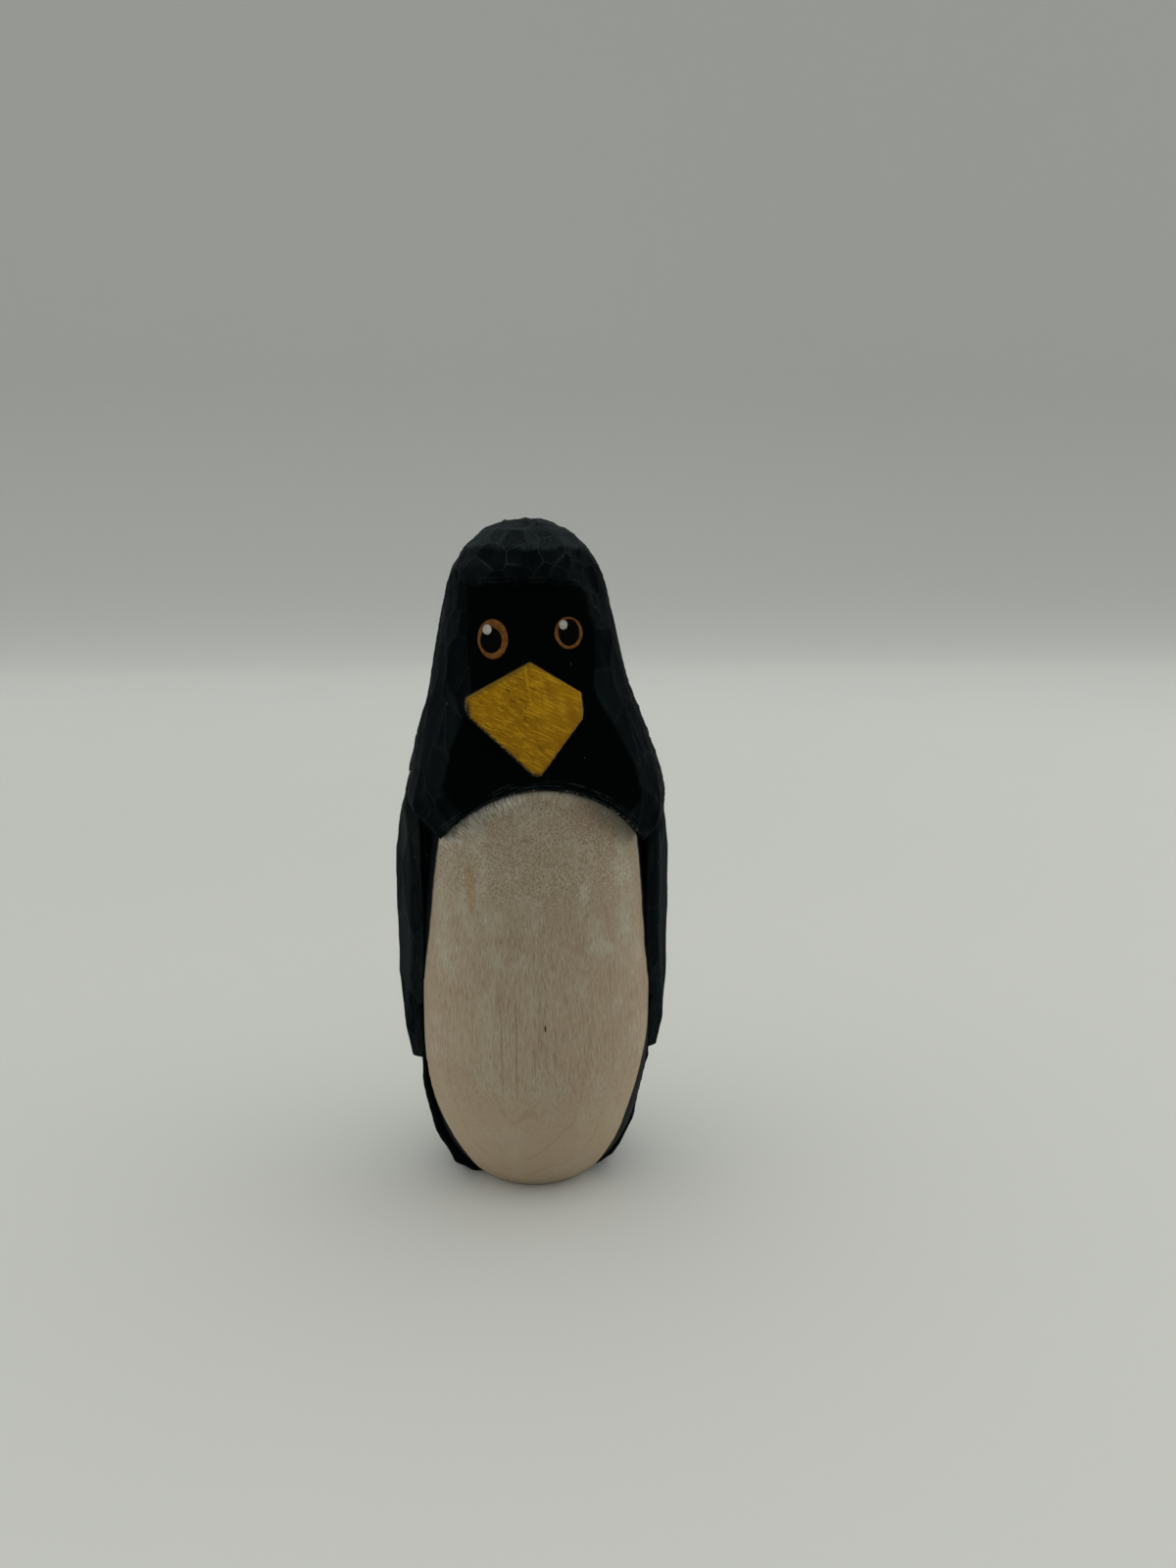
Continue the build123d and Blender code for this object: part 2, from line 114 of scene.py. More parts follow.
def over(tree, tone, shade, *shares):
    # lays a colour over the tone by the product of its shares
    return blend(tree, product(tree, *shares), tone, shade)


def colour(red, green, blue):
    return (red, green, blue, 1.0)


def startMaterial(name, specular):
    material = bpy.data.materials.new(name)
    material.use_nodes = True
    tree = material.node_tree
    shader = tree.nodes["Principled BSDF"]
    shader.inputs["Specular IOR Level"].default_value = specular
    grid = scaled(tree, addNode(tree, "ShaderNodeTexCoord").outputs["Object"], 1000.0)
    return material, tree, shader, grid     # grid is the place on the piece in millimetres


def finishMaterial(tree, shader, tone, roughness, height, relief):
    strength, depth = relief
    feed(tree, shader.inputs["Base Color"], tone)
    feed(tree, shader.inputs["Roughness"], roughness)
    bump = addNode(tree, "ShaderNodeBump", {"Height": height, "Strength": strength, "Distance": depth})
    tree.links.new(bump.outputs[0], shader.inputs["Normal"])


def stretched(tree, grid, scale, detail=3.0, rough=0.55, shift=(0.0, 0.0, 0.0)):
    # noise on a grid squeezed by a scale for each axis, from 0 to 1
    mapped = addNode(tree, "ShaderNodeMapping", {"Vector": grid, "Scale": scale, "Location": shift}).outputs[0]
    inputs = {"Vector": mapped, "Scale": 1.0, "Detail": detail, "Roughness": rough}
    return addNode(tree, "ShaderNodeTexNoise", inputs).outputs[0]


def noises(tree, grid, wanted):
    # each wanted noise is a scale, then its detail, roughness and shift
    return [stretched(tree, grid, *values) for values in wanted.values()]


def attribute(tree, name):
    return addNode(tree, "ShaderNodeAttribute", attribute_name=name).outputs["Fac"]


# camera at the photo's viewing angle, image 1200 by 1600

cameraSetup = {
    "place": (-0.0147, -0.2400, 0.1365),
    "pitchDown": 12.0,
    "turn": -6.25,
    "focalPixels": 1202.0,
    "imageHeight": 1600.0,
    "sensor": 36.0,
    "nearest": 0.01,
}


def makeCamera(setup):
    data = bpy.data.cameras.new("photoCamera")
    camera = bpy.data.objects.new("photoCamera", data)
    scene.collection.objects.link(camera)
    data.sensor_width = setup["sensor"]
    data.lens = setup["focalPixels"] / setup["imageHeight"] * data.sensor_width
    data.clip_start = setup["nearest"]
    camera.location = setup["place"]
    camera.rotation_euler = (math.radians(90 - setup["pitchDown"]), 0, math.radians(setup["turn"]))
    scene.camera = camera


# pale table top running back to a wall

stageSetup = {
    "nearColour": colour(0.672, 0.676, 0.637),
    "farColourWithPaintedLight": colour(0.825, 0.830, 0.793),
    "wallColour": colour(0.630, 0.642, 0.614),
    "specular": 0.2,
    "roughness": 0.8,
    "patches": ((0.01, 0.01, 0.01), 2.0),
    "paintedLightFade": (150.0, 950.0),         # millimetres behind the figure
    "change": (930.0, 1220.0),
    "wallAt": 1.30,                 # metres, as the lengths below are
    "sweep": 0.32,
    "sweepSteps": 16,
    "halfWidth": 2.6,
    "front": -1.6,
    "wallTop": 0.85,
}


def stageMaterial(setup):
    material, tree, shader, grid = startMaterial("paleStage", setup["specular"])
    shader.inputs["Roughness"].default_value = setup["roughness"]
    back = axesOf(tree, grid)["Y"]
    # painted light: the table top turns paler towards the back, against the shade the wall casts on it
    tone = blend(tree, ramp(tree, back, *setup["paintedLightFade"]), setup["nearColour"], setup["farColourWithPaintedLight"])
    tone = over(tree, tone, setup["wallColour"], ramp(tree, back, *setup["change"]))
    patch = stretched(tree, grid, *setup["patches"])
    tone = over(tree, tone, setup["wallColour"], ramp(tree, patch, 0.3, 0.7, 0.0, 0.05))
    tree.links.new(tone, shader.inputs["Base Color"])
    return material


def stageStrip(name, line, halfWidth, material):
    mesh = bpy.data.meshes.new(name)
    points = [(side * halfWidth, y, z) for y, z in line for side in (-1, 1)]
    faces = [(2 * i, 2 * i + 1, 2 * i + 3, 2 * i + 2) for i in range(len(line) - 1)]
    mesh.from_pydata(points, [], faces)
    mesh.polygons.foreach_set("use_smooth", [True] * len(faces))
    mesh.materials.append(material)
    strip = bpy.data.objects.new(name, mesh)
    scene.collection.objects.link(strip)


def makeStage(setup):
    wall, radius, steps = setup["wallAt"], setup["sweep"], setup["sweepSteps"]
    turns = [math.radians(90 * step / steps) for step in range(steps + 1)]
    bend = [(wall - radius + radius * math.sin(t), radius - radius * math.cos(t)) for t in turns]
    line = [(setup["front"], 0.0), (0.0, 0.0)] + bend + [(wall, setup["wallTop"])]
    stageStrip("tableAndWall", line, setup["halfWidth"], stageMaterial(setup))


# soft light from the ceiling and the sides, with a darker room in front

lightSetup = {
    "zenith": 0.73,
    "side": 1.57,
    "sideToZenith": (-0.1, 0.9),
    "front": 0.24,
    "frontReach": (0.1, 0.8),
    "frontHeight": (0.45, 0.9),
    "back": 0.50,
    "backReach": (0.2, 0.8),
    "tint": colour(0.985, 1.0, 0.985),
    "lampEnergy": 0.5,
    "lampSize": 0.8,
    "lampPlace": (0.6, 0.1, 0.45),
    "lampAim": (0, 0, 0.06),
}


def makeLight(setup):
    world = bpy.data.worlds.new("softRoom")
    scene.world = world
    world.use_nodes = True
    tree = world.node_tree
    background = tree.nodes["Background"]
    axes = axesOf(tree, addNode(tree, "ShaderNodeTexCoord").outputs["Generated"])
    room = total(tree, ramp(tree, axes["Z"], *setup["sideToZenith"], setup["side"], setup["zenith"]),
                 ramp(tree, axes["Y"], *setup["backReach"], 0.0, setup["back"]))
    ahead = product(tree, ramp(tree, product(tree, axes["Y"], -1.0), *setup["frontReach"]),
                    ramp(tree, axes["Z"], *setup["frontHeight"], 1.0, 0.0))
    tree.links.new(between(tree, ahead, room, setup["front"]), background.inputs["Strength"])
    background.inputs["Color"].default_value = setup["tint"]
    data = bpy.data.lights.new("sideSoftbox", "AREA")
    data.energy = setup["lampEnergy"]
    data.size = setup["lampSize"]
    lamp = bpy.data.objects.new("sideSoftbox", data)
    scene.collection.objects.link(lamp)
    lamp.location = setup["lampPlace"]
    lamp.rotation_euler = (Vector(setup["lampAim"]) - lamp.location).to_track_quat("-Z", "Y").to_euler()


makeCamera(cameraSetup)
makeStage(stageSetup)
makeLight(lightSetup)
print("camera, stage and light done")


# carving: a Geometry Nodes tree that hollows the knife facets, softens hard edges and marks the worn ridges

def metres(value):
    return value * mm


def asGiven(value):
    return value


# name of each input, its kind, the value of a piece's setup that goes in, and how it is turned
knifeInputs = (
    ("Facet Angle", "Float", "facetAngle", math.radians), ("Hard Angle", "Float", "hardAngle", math.radians),
    ("Scoop Depth", "Float", "scoop", metres), ("Scoop Reach", "Float", "scoopReach", metres),
    ("Ridge Width", "Float", "ridgeWidth", metres), ("Rim Width", "Float", "rimWidth", metres),
    ("Edge Softness", "Float", "softness", metres), ("Soft Passes", "Int", "softPasses", asGiven),
    ("Hand Wobble", "Float", "wobble", metres), ("Wobble Size", "Float", "wobbleSize", metres),
    ("Seed", "Float", "seed", asGiven), ("Edge Wander", "Float", "wander", metres),
    ("Tuck From", "Float", "tuckFrom", metres), ("Tuck Depth", "Float", "tuckDepth", metres),
    ("Facet Passes", "Int", "facetPasses", asGiven), ("Chip Size", "Float", "chipSize", metres),
    ("Chip Shape", "Vector", "chipShape", asGiven), ("Chip Depth", "Float", "chipDepth", metres),
    ("Chip Rise", "Float", "chipRise", asGiven), ("Flat Facing", "Vector", "flatFacing", asGiven),
    ("Flat Limit", "Float", "flatLimit", asGiven), ("Flat Top", "Float", "flatTop", metres),
)

knifeSetup = {      # lengths in metres
    "mergeWithin": 0.000002,
    "swayPitch": 230.0,
    "shortAbove": 0.116,        # chips get shorter towards the crown
    "chipReach": 0.36,
    "toneStep": 0.01,
    "flatBlend": 0.01,
    "flatTopBlend": 0.0005,
    "rimKept": (0.0006, 0.0022),
    "contactKept": (0.0003, 0.0010),
    "undersideKept": (-0.95, -0.75),
    "tuckRun": 0.005,
}

plainCut = {        # a piece without chips, flats or tuck
    "facetAngle": 4.0, "scoop": 0.0, "facetPasses": 0, "wander": 0.0, "tuckFrom": 0.0, "tuckDepth": 0.0,
    "chipSize": 5.0, "chipShape": (1.0, 1.0, 1.0), "chipDepth": 0.0, "chipRise": 0.0,
    "flatFacing": (0.0, 0.0, 0.0), "flatLimit": 2.0, "flatTop": 0.0,
}


def chipCells(tree, place, seed, wander, size, shape, rise):
    # uneven cells left by the blade: the swaying place, the distance to a border in cells, a number for each cell
    inputs = {"Vector": place, "W": seed, "Scale": knifeSetup["swayPitch"], "Detail": 2.0}
    sway = addNode(tree, "ShaderNodeTexNoise", inputs, noise_dimensions="4D").outputs["Color"]
    sway = scaled(tree, vector2(tree, "SUBTRACT", sway, (0.5, 0.5, 0.5)), wander)
    swaying = vector2(tree, "ADD", place, sway)
    up = math2(tree, "MAXIMUM", minus(tree, axesOf(tree, place)["Z"], knifeSetup["shortAbove"]), 0.0)
    up = addNode(tree, "ShaderNodeCombineXYZ", {2: product(tree, up, rise)}).outputs[0]
    cut = vector2(tree, "ADD", vector2(tree, "MULTIPLY", swaying, shape), up)
    inputs = {"Vector": cut, "Scale": math2(tree, "DIVIDE", 1.0, size)}
    border = addNode(tree, "ShaderNodeTexVoronoi", inputs, feature="DISTANCE_TO_EDGE").outputs[0]
    cell = addNode(tree, "ShaderNodeTexVoronoi", inputs).outputs["Color"]
    return swaying, border, axesOf(tree, cell)[0]


def makeKnifeTree(setup):
    tree = bpy.data.node_groups.new("knifeWork", "GeometryNodeTree")
    face = tree.interface
    face.new_socket("Geometry", in_out="OUTPUT", socket_type="NodeSocketGeometry")
    face.new_socket("Geometry", in_out="INPUT", socket_type="NodeSocketGeometry")
    kinds = [(label, kind) for label, kind, _, _ in knifeInputs]
    for label, kind in kinds + [("Carved Shape", "Object"), ("Neighbours", "Object"), ("Finish", "Material")]:
        face.new_socket(label, in_out="INPUT", socket_type="NodeSocket" + kind)
    given = addNode(tree, "NodeGroupInput").outputs
    shape = addNode(tree, "GeometryNodeObjectInfo", {"Object": given["Carved Shape"]}).outputs["Geometry"]
    angle = addNode(tree, "GeometryNodeInputMeshEdgeAngle").outputs
    place = addNode(tree, "GeometryNodeInputPosition").outputs[0]
    facing = addNode(tree, "GeometryNodeInputNormal").outputs[0]
    wandering, border = chipCells(tree, place, given["Seed"], given["Edge Wander"], given["Chip Size"],
                                  given["Chip Shape"], given["Chip Rise"])[:2]

    def edgesOver(which, limit):
        passed = addNode(tree, "FunctionNodeCompare", {0: which, 1: limit}, data_type="FLOAT",
                         operation="GREATER_THAN").outputs[0]
        lines = addNode(tree, "GeometryNodeMeshToCurve", {"Mesh": shape, "Selection": passed}).outputs[0]
        return addNode(tree, "GeometryNodeCurveToMesh", {"Curve": lines}).outputs[0]

    def distanceTo(target, spot, element):
        near = addNode(tree, "GeometryNodeProximity", {0: target, "Sample Position": spot}, target_element=element)
        return near.outputs["Distance"]

    def stored(body, label, value, domain):
        inputs = {"Geometry": body, "Name": label, "Value": value}
        return addNode(tree, "GeometryNodeStoreNamedAttribute", inputs, data_type="FLOAT", domain=domain).outputs[0]

    def moved(body, **inputs):
        return addNode(tree, "GeometryNodeSetPosition", {"Geometry": body, **inputs}).outputs[0]

    def rubbedPlace(passes, weight):
        node = addNode(tree, "GeometryNodeBlurAttribute", {"Iterations": passes, "Weight": weight},
                       data_type="FLOAT_VECTOR")
        tree.links.new(place, [s for s in node.inputs if s.type == "VECTOR"][0])
        return [s for s in node.outputs if s.type == "VECTOR"][0]

    toEdge = distanceTo(edgesOver(angle["Unsigned Angle"], given["Facet Angle"]), wandering, "EDGES")
    toRidge = distanceTo(edgesOver(angle["Signed Angle"], given["Facet Angle"]), wandering, "EDGES")
    toRim = distanceTo(edgesOver(angle["Unsigned Angle"], given["Hard Angle"]), place, "EDGES")
    others = addNode(tree, "GeometryNodeObjectInfo", {"Object": given["Neighbours"]}).outputs["Geometry"]
    toOthers = distanceTo(others, place, "FACES")

    # every facet of the carved shape gets a tone of its own
    grain = vector2(tree, "SNAP", facing, (setup["toneStep"],) * 3)
    draw = addNode(tree, "ShaderNodeTexWhiteNoise", {"Vector": grain}, noise_dimensions="3D").outputs["Value"]
    toned = stored(shape, "facetTone", draw, "FACE")
    own = addNode(tree, "GeometryNodeInputNamedAttribute", {"Name": "facetTone"}, data_type="FLOAT").outputs[0]
    tone = addNode(tree, "GeometryNodeSampleNearestSurface", {"Mesh": toned, "Value": own},
                   data_type="FLOAT").outputs[0]

    # marks are taken before anything moves
    ridge = ramp(tree, toRidge, 0.0, given["Ridge Width"], 1.0, 0.0)
    rim = ramp(tree, toRim, 0.0, given["Rim Width"], 1.0, 0.0)
    turned = axesOf(tree, facing)
    height = axesOf(tree, place)["Z"]
    likeness = addNode(tree, "ShaderNodeVectorMath", {0: facing, 1: given["Flat Facing"]},
                       operation="DOT_PRODUCT").outputs["Value"]
    flat = product(tree, ramp(tree, minus(tree, likeness, given["Flat Limit"]), 0.0, setup["flatBlend"]),
                   ramp(tree, minus(tree, given["Flat Top"], height), 0.0, setup["flatTopBlend"]))
    marks = {"ridge": ridge, "rim": rim, "flat": flat, "tone": tone, "upward": turned["Z"],
             "sideways": math2(tree, "ABSOLUTE", turned["X"])}
    body = given["Geometry"]
    for label, value in marks.items():
        body = stored(body, label, value, "POINT")

    # straight facets are evened out where chips take their place
    keep = minus(tree, 1.0, flat)
    away = product(tree, ramp(tree, toRim, *setup["rimKept"]), keep)
    body = moved(body, Position=rubbedPlace(given["Facet Passes"], away))

    # each facet and chip is hollowed a little; flats, seats and the underside keep their place
    chip = addNode(tree, "ShaderNodeMapRange", {"Value": border, "From Max": setup["chipReach"]}).outputs[0]
    chip = product(tree, chip, minus(tree, 2.0, chip))
    hollow = total(tree, product(tree, ramp(tree, toEdge, 0.0, given["Scoop Reach"]), given["Scoop Depth"]),
                   product(tree, chip, given["Chip Depth"]))
    pitch = math2(tree, "DIVIDE", 1.0, given["Wobble Size"])
    inputs = {"Vector": place, "W": given["Seed"], "Scale": pitch, "Detail": 2.0}
    wavy = addNode(tree, "ShaderNodeTexNoise", inputs, noise_dimensions="4D").outputs[0]
    depth = total(tree, product(tree, hollow, keep), product(tree, wavy, given["Hand Wobble"]))
    depth = product(tree, depth, ramp(tree, toOthers, *setup["contactKept"]))
    above = ramp(tree, minus(tree, height, given["Tuck From"]), 0.0, setup["tuckRun"])
    depth = total(tree, depth, product(tree, above, given["Tuck Depth"]))
    depth = product(tree, depth, ramp(tree, turned["Z"], *setup["undersideKept"]))
    body = moved(body, Offset=scaled(tree, facing, product(tree, depth, -1.0)))

    # hard edges are rubbed round, and the foot stays level
    weight = ramp(tree, toRim, 0.0, given["Edge Softness"], 1.0, 0.0)
    body = moved(body, Position=rubbedPlace(given["Soft Passes"], weight))
    body = moved(body, Position=vector2(tree, "MAXIMUM", place, (-1.0, -1.0, 0.0)))
    body = addNode(tree, "GeometryNodeSetShadeSmooth", {"Geometry": body}).outputs[0]
    body = addNode(tree, "GeometryNodeRealizeInstances", {"Geometry": body}).outputs[0]
    body = addNode(tree, "GeometryNodeSetMaterial", {"Geometry": body, "Material": given["Finish"]}).outputs[0]
    addNode(tree, "NodeGroupOutput", {"Geometry": body})
    return tree


knifeTree = makeKnifeTree(knifeSetup)


def bakedMesh(carrier, name):
    graph = bpy.context.evaluated_depsgraph_get()
    ready = carrier.evaluated_get(graph)
    mesh = bpy.data.meshes.new_from_object(ready, preserve_all_data_layers=True, depsgraph=graph)
    mesh.name = name
    return mesh


def linked(name, mesh):
    made = bpy.data.objects.new(name, mesh)
    scene.collection.objects.link(made)
    return made


def discard(*carriers):
    for carrier in carriers:
        mesh = carrier.data
        bpy.data.objects.remove(carrier)
        bpy.data.meshes.remove(mesh)


def keepHull(merged):
    hull = bmesh.ops.convex_hull(merged, input=merged.verts)
    inside = hull["geom_interior"] + hull["geom_unused"]
    spare = {part for part in inside if isinstance(part, bmesh.types.BMVert)}
    bmesh.ops.delete(merged, geom=list(spare), context="VERTS")
    skin = {part for part in hull["geom"] if isinstance(part, bmesh.types.BMFace)}
    bmesh.ops.delete(merged, geom=[f for f in merged.faces if f not in skin], context="FACES_ONLY")
    bmesh.ops.recalc_face_normals(merged, faces=merged.faces)


def mergedCopy(node, setup):
    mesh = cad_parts[node].data.copy()
    merged = bmesh.new()
    merged.from_mesh(mesh)
    bmesh.ops.remove_doubles(merged, verts=merged.verts, dist=knifeSetup["mergeWithin"])
    if setup.get("solid"):      # the hidden dowel hole is left out of a thin piece
        keepHull(merged)
    for low, high in setup.get("plugs", ()):     # thin walls over a seat are backed from inside
        size = [b - a for a, b in zip(low, high)]
        middle = [(a + b) / 2 for a, b in zip(low, high)]
        place = Matrix.Translation(Vector(middle) * mm) @ Matrix.Diagonal((*[s * mm for s in size], 1))
        bmesh.ops.create_cube(merged, size=1.0, matrix=place)
    merged.to_mesh(mesh)
    merged.free()
    mesh.materials.clear()
    return mesh


def neighboursOf(name, node):
    around = bmesh.new()
    for other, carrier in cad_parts.items():
        if other != node:
            around.from_mesh(carrier.data)
    mesh = bpy.data.meshes.new(name)
    around.to_mesh(mesh)
    around.free()
    return linked(name, mesh)


def carve(name, node, setup, material):
    # merged copy of the CAD shape, made into an even fine mesh, then worked with the knife tree
    shape = linked(name + "Shape", mergedCopy(node, setup))
    nextTo = neighboursOf(name + "Around", node)
    blank = linked(name + "Blank", shape.data.copy())
    even = blank.modifiers.new("evenMesh", "REMESH")
    even.mode = "VOXEL"
    even.voxel_size = setup["voxel"] * mm
    worked = linked(name + "Worked", bakedMesh(blank, name + "Even"))
    knife = worked.modifiers.new("knifeWork", "NODES")
    knife.node_group = knifeTree
    values = {label: turn(setup[key]) for label, _, key, turn in knifeInputs}
    values.update({"Carved Shape": shape, "Neighbours": nextTo, "Finish": material})
    for item in knifeTree.interface.items_tree:
        if item.in_out == "INPUT" and item.name in values:
            knife[item.identifier] = values[item.name]
    piece = linked(name, bakedMesh(worked, name))
    discard(shape, blank, worked, nextTo)
    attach(piece, "root")
    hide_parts(node)
    print(name, "carved:", len(piece.data.polygons), "faces")
    return piece


# the hood's edge over the belly is an arch round this middle (across, up)

archSetup = {
    "middle": (1.2, 64.6),
    "radius": 23.2,
    "hoodFrom": (72.0, 74.5),
    "bellyFrom": (71.0, 76.0),
    "bristles": (2.6, 0.55, 1.0),
    "bristleShift": (9.0, 4.0, 0.0),
}


def archPlace(tree, axes, setup):
    # distance from the arch, outward, and the way along it, in millimetres
    across = minus(tree, axes["X"], setup["middle"][0])
    up = minus(tree, axes["Z"], setup["middle"][1])
    reach = total(tree, product(tree, across, across), product(tree, up, up))
    out = minus(tree, math2(tree, "SQRT", reach), setup["radius"])
    along = product(tree, math2(tree, "ARCTAN2", across, up), setup["radius"])
    return out, along


def bristles(tree, out, along, detail=3.0):
    # fine marks that run across the arch, as a brush leaves them
    way = addNode(tree, "ShaderNodeCombineXYZ", {0: along, 1: out}).outputs[0]
    return stretched(tree, way, archSetup["bristles"], detail, 0.6, archSetup["bristleShift"])


def spotMask(tree, axes, spot, ragged):
    # soft oval mark on the front, 1 in its middle
    across = math2(tree, "DIVIDE", minus(tree, axes["X"], spot["place"][0]), spot["size"][0])
    up = math2(tree, "DIVIDE", minus(tree, axes["Z"], spot["place"][1]), spot["size"][1])
    reach = total(tree, product(tree, across, across), product(tree, up, up))
    return ramp(tree, total(tree, reach, ragged), 1.3, 0.3)


# black stain on the hood, back and flippers

stainSetup = {
    "deep": colour(0.0009, 0.0022, 0.0027),
    "body": colour(0.0028, 0.0052, 0.0060),
    "dustAndPaintedLight": colour(0.0190, 0.0255, 0.0270),
    "worn": colour(0.046, 0.054, 0.055),
    "face": colour(0.0005, 0.0016, 0.0013),
    "speck": colour(0.13, 0.14, 0.125),
    "lipHighlight": colour(0.026, 0.036, 0.038),
    "paint": colour(0.34, 0.32, 0.26),
    "specular": 0.012,
    "roughness": (0.5, 0.72),
    "relief": (0.35, 0.00025),          # strength, and depth in metres
    "noises": {"broad": ((0.22, 0.22, 0.10), 4.0), "fine": ((3.4, 3.4, 2.2), 2.0, 0.6)},
    "streaks": (4.0, 0.65, (3.0, 1.0, 5.0)),
    "crestWidth": 0.055,
    "specks": {"pitch": 0.42, "size": (0.03, 0.07), "picked": (0.54, 0.58), "share": 0.6},
    "lipNoises": {"lines": ((0.09, 2.0, 1.0), 3.0, 0.6, (3.0, 7.0, 0.0)), "breaks": ((0.35, 0.8, 1.0), 2.0)},
    "browNicks": ((0.30, 0.1, 0.1), 2.0),
    "lipReach": (3.0, 1.4),             # millimetres from here on
    "lipFront": (-8.0, -11.0),
    "traceReach": (0.55, 0.15),
    "browFrom": (125.0, 127.0),
    "browTo": (128.8, 128.0),
    "browFront": (-8.0, -10.0),
}


def lipHighlightNicksAndTraces(tree, tone, setup, grid, axes, broad, fine):
    # painted highlight along the hood's edge over the belly, nicks along the brow and traces of the pale paint
    out, along = archPlace(tree, axes, archSetup)
    front = product(tree, ramp(tree, axes["Y"], *setup["lipFront"]), ramp(tree, axes["Z"], *archSetup["hoodFrom"]))
    way = addNode(tree, "ShaderNodeCombineXYZ", {0: along, 1: out}).outputs[0]
    lines, breaks = noises(tree, way, setup["lipNoises"])
    # painted highlight: a broken grey line along the bevel of the hood's edge
    tone = over(tree, tone, setup["lipHighlight"], ramp(tree, out, *setup["lipReach"]), ramp(tree, lines, 0.50, 0.60), front,
                ramp(tree, fine, 0.3, 0.5, 0.2, 0.75), ramp(tree, breaks, 0.42, 0.58, 0.15, 1.0))
    nicks = stretched(tree, grid, *setup["browNicks"])
    tone = over(tree, tone, setup["worn"], ramp(tree, axes["Z"], *setup["browFrom"]),
                ramp(tree, axes["Z"], *setup["browTo"]), ramp(tree, attribute(tree, "rim"), 0.35, 0.9),
                ramp(tree, fine, 0.35, 0.6, 0.05, 0.25), ramp(tree, nicks, 0.45, 0.58),
                ramp(tree, axes["Y"], *setup["browFront"]))
    return over(tree, tone, setup["paint"], ramp(tree, bristles(tree, out, along), 0.52, 0.64),
                ramp(tree, out, *setup["traceReach"]), front, ramp(tree, broad, 0.4, 0.55), 0.75)


def stainMaterial(name, setup, levels, cut, lipHighlight=False):
    material, tree, shader, grid = startMaterial(name, setup["specular"])
    axes = axesOf(tree, grid)
    broad, fine = noises(tree, grid, setup["noises"])
    streak = stretched(tree, grid, levels["grain"], *setup["streaks"])
    side, up, flat = [attribute(tree, label) for label in ("sideways", "upward", "flat")]
    # the same cells as in the carving, so that crests and colour agree
    border, facet = chipCells(tree, scaled(tree, grid, mm), cut["seed"], cut["wander"] * mm, cut["chipSize"] * mm,
                              cut["chipShape"], cut["chipRise"])[1:]
    crest = product(tree, ramp(tree, border, 0.0, setup["crestWidth"], 1.0, 0.0), minus(tree, 1.0, flat))
    base = total(tree, broad, product(tree, facet, 0.3))
    tone = blend(tree, ramp(tree, base, 0.45, 0.85), setup["deep"], setup["body"])
    # dust and wear lighten the stain a little everywhere; painted light lightens it more on upward faces, as a painted
    # sheen from above, and on the flanks, as painted side light
    paintedTopLight = product(tree, ramp(tree, up, *levels["upFrom"], 0.0, levels["up"]),
                  ramp(tree, axes["Z"], *levels["upAbove"]))
    dustAndPaintedLightShare = total(tree, levels["even"], ramp(tree, side, *levels["sideFrom"], 0.0, levels["side"]), paintedTopLight)
    mottle = total(tree, product(tree, streak, 0.6), product(tree, fine, 0.4))
    tone = over(tree, tone, setup["dustAndPaintedLight"], dustAndPaintedLightShare, ramp(tree, facet, 0.0, 1.0, 0.40, 1.05),
                ramp(tree, mottle, 0.36, 0.62, 0.35, 1.25))
    tone = over(tree, tone, setup["dustAndPaintedLight"], ramp(tree, streak, 0.54, 0.76, 0.0, levels["dust"]))
    # wear lightens the crests everywhere; on upward faces more of it is laid on as painted light from above
    crestWearAndTopLight = total(tree, levels["worn"], ramp(tree, up, 0.25, 0.6, 0.0, levels["topLightOnCrests"]))
    tone = over(tree, tone, setup["worn"], crestWearAndTopLight, ramp(tree, broad, 0.36, 0.60, 0.25, 1.0),
                ramp(tree, fine, 0.3, 0.55, 0.35, 1.0), crest)
    tone = over(tree, tone, setup["face"], flat, ramp(tree, streak, 0.55, 0.8, 1.0, 0.8))
    if lipHighlight:
        tone = lipHighlightNicksAndTraces(tree, tone, setup, grid, axes, broad, fine)
    for mark in levels.get("spots", ()):
        ragged = product(tree, minus(tree, fine, 0.5), 3.0)
        tone = over(tree, tone, mark["colour"], spotMask(tree, axes, mark, ragged),
                    ramp(tree, axes["Y"], *mark["front"]), mark["share"])
    # scattered specks of dust
    specks = setup["specks"]
    cells = addNode(tree, "ShaderNodeTexVoronoi", {"Vector": grid, "Scale": specks["pitch"]}).outputs
    pick = addNode(tree, "ShaderNodeSeparateColor", {0: cells["Color"]}).outputs[0]
    tone = over(tree, tone, setup["speck"], ramp(tree, cells["Distance"], *specks["size"], 1.0, 0.0),
                ramp(tree, pick, *specks["picked"]), specks["share"])
    height = total(tree, product(tree, streak, 0.7), product(tree, fine, 0.3))
    roughness = ramp(tree, streak, 0.3, 0.8, *setup["roughness"])
    finishMaterial(tree, shader, tone, roughness, height, setup["relief"])
    return material


